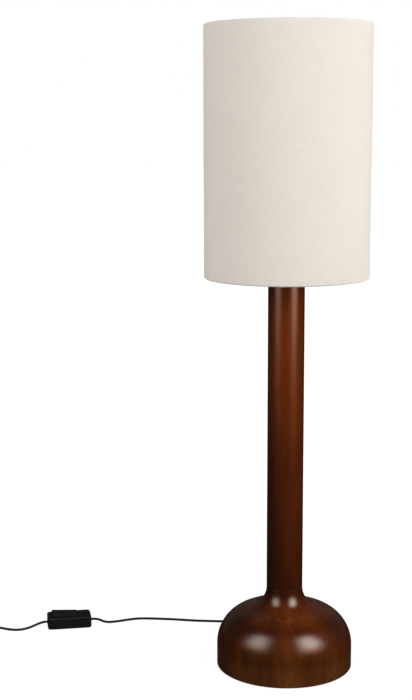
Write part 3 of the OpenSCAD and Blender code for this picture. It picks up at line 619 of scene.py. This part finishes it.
# %% Glass of the bulb
def opal_recipe(r):
    x, y, z = r.place()
    cloud = r.noise(r.point(x, y, z), 38, 2, 0.5)
    colour = r.mix(cloud, (0.82, 0.82, 0.79), (0.90, 0.90, 0.88))
    return {"Base_Color": colour, "Roughness": 0.16 + cloud * 0.10,
            "Normal": r.bump(cloud, 0.00010, 0.3)}


OPAL_GLASS = finish("opal_bulb_glass", opal_recipe, Subsurface_Weight=0.15,
                    Subsurface_Radius=(0.004, 0.004, 0.004))


# %% [markdown]
# ### Metals
# Plated steel, nickel and brass are metals with fine marks from being turned or drawn. The marks
# go round each piece, so they are noise in rings of height. Cast iron is dark paint over a
# pebbly skin. They show only from below, from above and at the plug.


# %% Metals
def metal_recipe(dull, bright, gloss):
    """Turned metal between two colours, with tool marks in rings."""

    def make(r):
        x, y, z = r.place()
        marks = r.noise(r.point(x * 60, y * 60, z * 5200), 1, 2, 0.6)
        stain = r.noise(r.point(x, y, z), 120, 3, 0.6)
        colour = r.mix(stain * 0.7 + marks * 0.3, dull, bright)
        return {"Base_Color": colour, "Roughness": marks * 0.14 + stain * 0.12 + gloss,
                "Normal": r.bump(marks, 0.00001, 0.4)}

    return make


STEEL = finish("zinc_plated_steel", metal_recipe((0.46, 0.47, 0.49), (0.66, 0.67, 0.69), 0.22),
               Metallic=1.0)
NICKEL = finish("nickel_plate", metal_recipe((0.58, 0.56, 0.53), (0.76, 0.74, 0.71), 0.12),
                Metallic=1.0)
BRASS = finish("brass_sheet", metal_recipe((0.56, 0.38, 0.14), (0.78, 0.58, 0.26), 0.18),
               Metallic=1.0)
CAST_IRON = finish("painted_cast_iron", plastic_recipe(
    (0.020, 0.020, 0.022), (0.050, 0.050, 0.054), 520, 0.00030, 0.55))


# %% [markdown]
# ### Under the foot
# A pressed fibre board closes the foot and carries a felt pad, so that the lamp doesn't scratch
# the floor. Both are made of fibres: the board's are pressed flat and brown, the felt's stand up
# in a soft grey tangle.


# %% Board and felt
def fibre_recipe(dark, light, across, depth):
    """Matted fibres between two colours. Across is how many fibres lie in a metre."""

    def make(r):
        x, y, z = r.place()
        one = r.noise(r.point(x * 3, y, z), across, 3, 0.7, 1.5)
        other = r.noise(r.point(x, y * 3, z), across * 0.8, 3, 0.7, 1.5)
        tangle = one * 0.5 + other * 0.5
        return {"Base_Color": r.mix(tangle.between(0.35, 0.65), dark, light),
                "Normal": r.bump(tangle, depth, 0.8)}

    return make


BOARD = finish("pressed_fibre_board", fibre_recipe(
    (0.11, 0.058, 0.026), (0.21, 0.120, 0.058), 420, 0.0001), Roughness=0.75)
FELT = finish("grey_felt", fibre_recipe(
    (0.018, 0.018, 0.019), (0.052, 0.052, 0.055), 900, 0.0004), Roughness=0.95,
    Sheen_Weight=0.4)

# %% Finishes of the leads
for piece in (lead_near, lead_far, lead_inside):
    piece.data.materials.append(BLACK_RUBBER)

# %% [markdown]
# ## The foot and the column
# The foot is a dome with a straight wall, a round shoulder, and a hollow sweep that runs up into
# the column. The column stands on it with a tenon, and where the two meet a fine V shows as a
# dark ring. Both outlines are arcs and lines with the sizes of the drawing. An arc in small
# steps keeps the gloss smooth, and small round edges catch the light as sanded wood does.

# %% Outlines of the wood
BASE_R, WALL_H, SHOULDER_R, SWEEP_R = 126.5, 42, 71, 40
COLUMN_R, COLUMN_TOP, SEAM_V = 33.5, 744.53, 0.6
RIM_Z, LEDGE_Z, ROOF_Z = 1, 5, 47
RECESS_R, REBATE_R, TENON_R, ROD_HOLE_R = 100.5, 114.5, 20.1, 5.5
TENON_L, TENON_GAP, EDGE_R = 30, 0.1, 1.5
SHOULDER_MID_R = BASE_R - SHOULDER_R
NECK_SLOPE = math.asin((COLUMN_R + SWEEP_R - SHOULDER_MID_R) / (SHOULDER_R + SWEEP_R))
NECK_Z = WALL_H + (SHOULDER_R + SWEEP_R) * math.cos(NECK_SLOPE)


def arc(middle, radius, start, stop, count):
    """Points on an arc, with its angles in radians."""
    turns = [start + (stop - start) * i / count for i in range(count + 1)]
    return [(middle[0] + radius * math.cos(a), middle[1] + radius * math.sin(a)) for a in turns]


QUARTER = math.pi / 2
foot_outline = (
    [(REBATE_R, RIM_Z)]
    + arc((BASE_R - EDGE_R, RIM_Z + EDGE_R), EDGE_R, -QUARTER, 0, 4)
    + [(BASE_R, 8), (BASE_R, 16), (BASE_R, 25), (BASE_R, 34)]
    + arc((SHOULDER_MID_R, WALL_H), SHOULDER_R, 0, QUARTER - NECK_SLOPE, 40)
    + arc((COLUMN_R + SWEEP_R, NECK_Z), SWEEP_R, 3 * QUARTER - NECK_SLOPE,
          2 * QUARTER + math.radians(1.2), 24)
    + [(COLUMN_R, NECK_Z - SEAM_V), (COLUMN_R - SEAM_V, NECK_Z), (TENON_R, NECK_Z),
       (TENON_R, NECK_Z - TENON_L - 1), (ROD_HOLE_R, NECK_Z - TENON_L - 1),
       (ROD_HOLE_R, ROOF_Z), (RECESS_R, ROOF_Z), (RECESS_R, LEDGE_Z), (REBATE_R, LEDGE_Z)])
column_outline = (
    [(ROD_HOLE_R, NECK_Z - TENON_L), (TENON_R - TENON_GAP - 1, NECK_Z - TENON_L),
     (TENON_R - TENON_GAP, NECK_Z - TENON_L + 1), (TENON_R - TENON_GAP, NECK_Z),
     (COLUMN_R - SEAM_V, NECK_Z), (COLUMN_R, NECK_Z + SEAM_V)]
    + [(COLUMN_R, NECK_Z + SEAM_V + (COLUMN_TOP - NECK_Z - 4) * i / 40) for i in range(1, 41)]
    + arc((COLUMN_R - EDGE_R, COLUMN_TOP - EDGE_R), EDGE_R, 0, QUARTER, 4)
    + [(ROD_HOLE_R, COLUMN_TOP)])
foot = turned_piece("foot_wood", foot_outline, WOOD)
column = turned_piece("column_wood", column_outline, WOOD, 96)

# %% Where the wood belongs
for piece, node in ((foot, "base_dome"), (column, "column")):
    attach(piece, "lamp")
    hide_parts(node)
    low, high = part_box(node)
    print(node, "CAD height", round(low.z / MM, 1), "to", round(high.z / MM, 1))

# %% [markdown]
# ## Bands of cloth
# Two flat strips of cloth follow a path: the overlap that closes the drum at the back, and the
# strap round the coil. A flat section carried along a path is a rule again, so a second small tree
# makes both. The path lies in the middle of the cloth.


# %% Band tree
def band_tree():
    """Carries a flat section with soft edges along the path, with its width across the path."""
    tree, given = new_tree("band", [
        ("Width", "NodeSocketFloat", 0.01),
        ("Thickness", "NodeSocketFloat", 0.001),
        ("Edge share", "NodeSocketFloat", 0.35),
        ("Finish", "NodeSocketMaterial", None),
    ])
    section = put(tree, "GeometryNodeCurvePrimitiveQuadrilateral", {"mode": "RECTANGLE"},
                  Width=given["Thickness"], Height=given["Width"])
    edge = put(tree, "ShaderNodeMath", {"operation": "MULTIPLY"})
    tree.links.new(given["Thickness"], edge.inputs[0])
    tree.links.new(given["Edge share"], edge.inputs[1])
    soft = put(tree, "GeometryNodeFilletCurve", {"mode": "POLY"}, Curve=section.outputs[0],
               Radius=edge.outputs[0], Count=3)
    level = put(tree, "GeometryNodeSetCurveNormal", {"mode": "Z_UP"}, Curve=given["Geometry"])
    band = put(tree, "GeometryNodeCurveToMesh", Curve=level.outputs[0],
               Profile_Curve=soft.outputs[0], Fill_Caps=True)
    smooth = put(tree, "GeometryNodeSetShadeSmooth", {"domain": "FACE"}, Geometry=band.outputs[0])
    close_tree(tree, smooth.outputs[0], given["Finish"])
    return tree


BAND = band_tree()


def cloth_band(name, path, width, thickness, finish, placing):
    """A strip of cloth along a flat path in millimetres, then turned and put where it belongs."""
    curve = outline_curve(name + "_path", path, closed=False)
    piece = bake_tree(curve, BAND, name, Width=width * MM, Thickness=thickness * MM, Finish=finish)
    piece.data.transform(placing)
    if outward(piece.data) < 0:
        piece.data.flip_normals()
    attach(piece, "lamp")
    print(name, "faces:", len(piece.data.polygons))
    return piece


# %% [markdown]
# ## The shade
# The drum is linen laminated to a stiff white lining. At both ends the linen is rolled over a
# wire ring, which gives the thin round edges in the photograph, and at the back its two ends
# overlap by a finger's width. The cloth was cut as a long rectangle. It goes through the lathe
# tree too, with an outline that follows the cloth: up the outside, round the upper wire, and
# round the lower one. The overlap is a strip of the same cloth, a cloth's thickness proud.

# %% Linen drum
CLOTH_T, WIRE_RING_R, ROLL_R = 0.7, 146.9, 3.1
LOW_WIRE_Z, TOP_WIRE_Z = 736.13, 1179.93
TOP_WRAP, LOW_WRAP = math.radians(235), math.radians(150)
top_wire, low_wire = (WIRE_RING_R, TOP_WIRE_Z), (WIRE_RING_R, LOW_WIRE_Z)
wall = [(SHADE_R, LOW_WIRE_Z + (TOP_WIRE_Z - LOW_WIRE_Z) * i / 24) for i in range(1, 24)]
inner_wall = [(SHADE_R - CLOTH_T, z) for _, z in reversed(wall)]
linen_outline = (
    wall + arc(top_wire, ROLL_R, 0, TOP_WRAP, 20)
    + arc(top_wire, ROLL_R - CLOTH_T, TOP_WRAP, 0, 20) + inner_wall
    + arc(low_wire, ROLL_R - CLOTH_T, 0, -LOW_WRAP, 14) + arc(low_wire, ROLL_R, -LOW_WRAP, 0, 14))
linen = turned_piece("shade_linen_cloth", linen_outline, LINEN, 256)
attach(linen, "lamp")
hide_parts("shade_linen")

# %% Overlap at the back
LAP, LAP_T = 12, 0.5
LAP_END = math.radians(35)
sag = SHADE_R - math.sqrt(SHADE_R ** 2 - (LAP / 2) ** 2)
lap_r = ROLL_R + LAP_T / 2 - sag
lap_path = (
    arc(top_wire, lap_r, LAP_END, 0, 6)
    + [(WIRE_RING_R + lap_r, z) for _, z in reversed(wall)]
    + arc(low_wire, lap_r, 0, -LAP_END, 6))
out_at_the_back = Matrix(((0, 0, 1), (1, 0, 0), (0, 1, 0))).to_4x4()
lap = cloth_band("shade_linen_overlap", lap_path, LAP, LAP_T, LINEN, out_at_the_back)

# %% [markdown]
# ## The strap
# The coil is held by a strip of hook-and-loop cloth that goes once round all its turns, with its
# free end pressed onto its start. It takes its size from the solid that it dresses.

# %% Strap round the coil
STRAP_T = 0.8
STRAP_CLOTH = finish("black_hook_and_loop_cloth", fibre_recipe(
    (0.005, 0.005, 0.005), (0.016, 0.016, 0.017), 1500, 0.0003), Roughness=0.95, Sheen_Weight=0.3)
tie_low, tie_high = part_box("coil_tie")
tie_size = (tie_high - tie_low) / MM
half_h = (tie_size.z - STRAP_T) / 2
bend = (LEAD_D + STRAP_T) / 2
flat_l, flat_h = (tie_size.x - STRAP_T) / 2 - bend, half_h - bend
over = 1.05 * STRAP_T
strap_path = (
    [(6, half_h)] + arc((-flat_l, flat_h), bend, QUARTER, 2 * QUARTER, 6)
    + arc((-flat_l, -flat_h), bend, 2 * QUARTER, 3 * QUARTER, 6)
    + arc((flat_l, -flat_h), bend, 3 * QUARTER, 4 * QUARTER, 6)
    + arc((flat_l, flat_h), bend + over, 0, QUARTER, 6) + [(-5, half_h + over)])
stand_up = Matrix.Translation((tie_low + tie_high) / 2) @ Matrix.Rotation(QUARTER, 4, "X")
strap = cloth_band("coil_strap", strap_path, tie_size.y, STRAP_T, STRAP_CLOTH, stand_up)
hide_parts("coil_tie")
print("strap round", round(tie_size.x), "by", round(tie_size.z), "mm")

# %% [markdown]
# ## Finishes of the solids
# The solids that are shown as they were drawn get their finish from the drawing's list of
# materials. The hidden ones get theirs too, so that each is right when a casing is taken off.

# %% Finishes of the CAD pieces
CAD_FINISH = {
    "cast_iron": CAST_IRON, "zinc_steel": STEEL, "hardboard": BOARD, "felt": FELT,
    "black_plastic": BLACK_PLASTIC, "black_lead": BLACK_RUBBER, "ceramic": CERAMIC,
    "brass": BRASS, "nickel_shell": NICKEL, "opal_plastic": OPAL_PLASTIC,
    "opal_glass": OPAL_GLASS, "linen": LINEN, "lining": LINING, "white_wire": ENAMEL,
    "walnut_lacquer": WOOD,
}
for node in cad.values():
    for slot in node.material_slots:
        slot.material = CAD_FINISH[slot.material.name.split(".")[0]]
print("CAD nodes with a finish:", len(cad))

# %% [markdown]
# ## The soft parts
# The two runs of lead are free cords, and the linen is a sheet: it was cut as a rectangle as long
# as the drum is round, plus the overlap, and as wide as the drum is high, plus its hems. The line
# below only works out, in metres, the point where the lead leaves the switch towards the plug.

tuple(v * MM for v in in_switch(-SWITCH_L / 2))

# %% [markdown]
# ## Floor, backdrop and light
# The photograph was made in front of white, with two tall soft windows of light at the front left
# and front right: they show as two streaks on the column and two pairs of spots on the foot. More
# light comes from the right. The floor is pale and shows almost white to the camera, with the
# lamp's faint shadow left in it. It is clear from below and lies a hair under the felt, so that the
# underside of the lamp can be looked at.


# %% Floor
SEEN_WHITE, GLOSS_DARK = 0.75, 0.99


def floor_finish():
    """A pale floor that the camera sees nearly white, with the shadow of what stands on it."""
    material = bpy.data.materials.new("pale_floor")
    material.use_nodes = True
    r = Recipe(material.node_tree)
    for node in list(r.tree.nodes):
        if node.type == "BSDF_PRINCIPLED":
            r.tree.nodes.remove(node)
    end = next(n for n in r.tree.nodes if n.type == "OUTPUT_MATERIAL")
    seen = r.node("ShaderNodeLightPath")
    bounce = 0.8 - r.reading(seen, "Is Diffuse Ray") * 0.45
    pale = r.node("ShaderNodeBsdfDiffuse", None, {
        "Color": r.mix(bounce, (0, 0, 0), (1, 1, 1))})
    x, y, z = r.place()
    glow = (x * x + y * y).between(0.3, 2.5) * 0.2 + 1.19
    white = r.node("ShaderNodeEmission", None, {"Color": (1, 1, 1, 1), "Strength": glow})
    dark = r.node("ShaderNodeEmission", None, {"Color": (1, 1, 1, 1), "Strength": 0.01})
    seen_share = r.reading(seen, "Is Camera Ray") * SEEN_WHITE
    seen_share = seen_share + r.reading(seen, "Is Transmission Ray") * SEEN_WHITE
    front = r.node("ShaderNodeMixShader", None, {0: seen_share, 1: pale.outputs[0],
                                                 2: white.outputs[0]})
    gloss = r.node("ShaderNodeMixShader", None, {0: r.reading(seen, "Is Glossy Ray") * GLOSS_DARK,
                                                 1: front.outputs[0], 2: dark.outputs[0]})
    clear = r.node("ShaderNodeBsdfTransparent")
    below = r.reading(r.node("ShaderNodeNewGeometry"), "Backfacing")
    floor_skin = r.node("ShaderNodeMixShader", None, {0: below, 1: gloss.outputs[0],
                                                      2: clear.outputs[0]})
    r.tree.links.new(floor_skin.outputs[0], end.inputs["Surface"])
    return material


floor_mesh = bpy.data.meshes.new("floor")
reach, floor_z = 30, -0.0002
floor_mesh.from_pydata([(-reach, -reach, floor_z), (reach, -reach, floor_z),
                        (reach, reach, floor_z), (-reach, reach, floor_z)], [], [(0, 1, 2, 3)])
floor = bpy.data.objects.new("floor", floor_mesh)
floor_mesh.materials.append(floor_finish())
scene.collection.objects.link(floor)
print("floor", 2 * reach, "m wide")

# %% [markdown]
# The sky is an even white light that the camera sees as white. In the lacquer it would lie over
# the dark wood as a grey veil, so there it is black at the front and faint behind the lamp.

# %% Sky
AMBIENT, BACK_LIGHT, FRONT_DARK = 0.50, 0.08, 0.0
sky = bpy.data.worlds.new("studio")
sky.use_nodes = True
scene.world = sky
r = Recipe(sky.node_tree)
back = next(n for n in r.tree.nodes if n.type == "BACKGROUND")
seen = r.node("ShaderNodeLightPath")
way = r.node("ShaderNodeTexCoord").outputs["Generated"]
toward = r.node("ShaderNodeSeparateXYZ", None, {0: way})
behind = r.reading(toward, 1).between(0.1, 0.9)
in_gloss = FRONT_DARK + behind * (BACK_LIGHT - FRONT_DARK)
through = r.reading(seen, "Is Camera Ray").most(r.reading(seen, "Is Transmission Ray"))
glossy = r.reading(seen, "Is Glossy Ray")
lit = glossy * in_gloss + (1 - glossy) * AMBIENT
strength = through + (1 - through) * lit
r.tree.links.new(strength.socket, back.inputs["Strength"])
back.inputs["Color"].default_value = (1, 1, 1, 1)
print("sky with", len(r.tree.nodes), "nodes")

# %% [markdown]
# Two soft-edged windows show in the gloss only. Three plain lights, a little further away, light
# only what is matt: one from each side at the front, and a weak one from the right. So the
# streaks and spots can be as bright as in the photograph without changing the tone of the shade.


# %% Lamps
def window_light(name, azimuth, distance, height, size, radiance):
    """A tall light at an azimuth from the front, positive to the right, facing the lamp."""
    light = bpy.data.lights.new(name, "AREA")
    light.shape = "RECTANGLE"
    light.size, light.size_y = size
    light.energy = radiance * math.pi * size[0] * size[1]
    obj = bpy.data.objects.new(name, light)
    a = math.radians(azimuth)
    obj.location = (distance * math.sin(a), -distance * math.cos(a), height)
    obj.rotation_euler = (math.pi / 2, 0, a)
    obj.visible_camera = False
    scene.collection.objects.link(obj)
    return obj


def matt_light(name, azimuth, distance, height, size, radiance):
    """A window that lights matt surfaces only."""
    window_light(name, azimuth, distance, height, size, radiance).visible_glossy = False


GLOSS_DISTANCE, GLOSS_HALF_WIDTH = 1.5, 0.9
GLOSS_LOW, GLOSS_FULL_FROM, GLOSS_FULL_TO, GLOSS_HIGH = 0.16, 1.0, 1.35, 3.0


def gloss_window(name, azimuth, radiance):
    """What the lacquer mirrors: a soft-edged window, brightest in its middle and warm low down."""
    size = (2 * GLOSS_HALF_WIDTH, GLOSS_HIGH - GLOSS_LOW)
    obj = window_light(name, azimuth, GLOSS_DISTANCE, (GLOSS_LOW + GLOSS_HIGH) / 2, size, radiance)
    obj.visible_diffuse = False
    obj.data.use_nodes = True
    r = Recipe(obj.data.node_tree)
    glow = next(n for n in r.tree.nodes if n.type == "EMISSION")
    place = r.node("ShaderNodeNewGeometry").outputs["Position"]
    x, y, z = (Reading(r, s) for s in r.node("ShaderNodeSeparateXYZ", None, {0: place}).outputs)
    a = math.radians(azimuth)
    across = (x * math.cos(a) + y * math.sin(a)).size()
    open_part = (1 - across.between(0, GLOSS_HALF_WIDTH)) * z.between(GLOSS_LOW, GLOSS_FULL_FROM)
    open_part = open_part * (1 - z.between(GLOSS_FULL_TO, GLOSS_HIGH))
    r.give(glow.inputs["Color"], r.mix(z.between(0.2, 1.0), (1.0, 0.50, 0.20), (1.0, 0.93, 0.86)))
    r.give(glow.inputs["Strength"], open_part)


gloss_window("window_left", -51.8, 6.3)
gloss_window("window_right", 51, 10.6)
matt_light("light_left", -50, 1.9, 1.45, (1.3, 1.9), 2.1)
matt_light("light_right", 50, 1.9, 1.45, (1.3, 1.9), 3.3)
matt_light("fill_right", 95, 2.4, 1.4, (1.6, 2.0), 0.9)
scene.view_settings.view_transform = "Standard"

# %% [markdown]
# ## The end
# The view layer is updated once more, so that every piece stands where it was put.

# %% The end
bpy.context.view_layer.update()
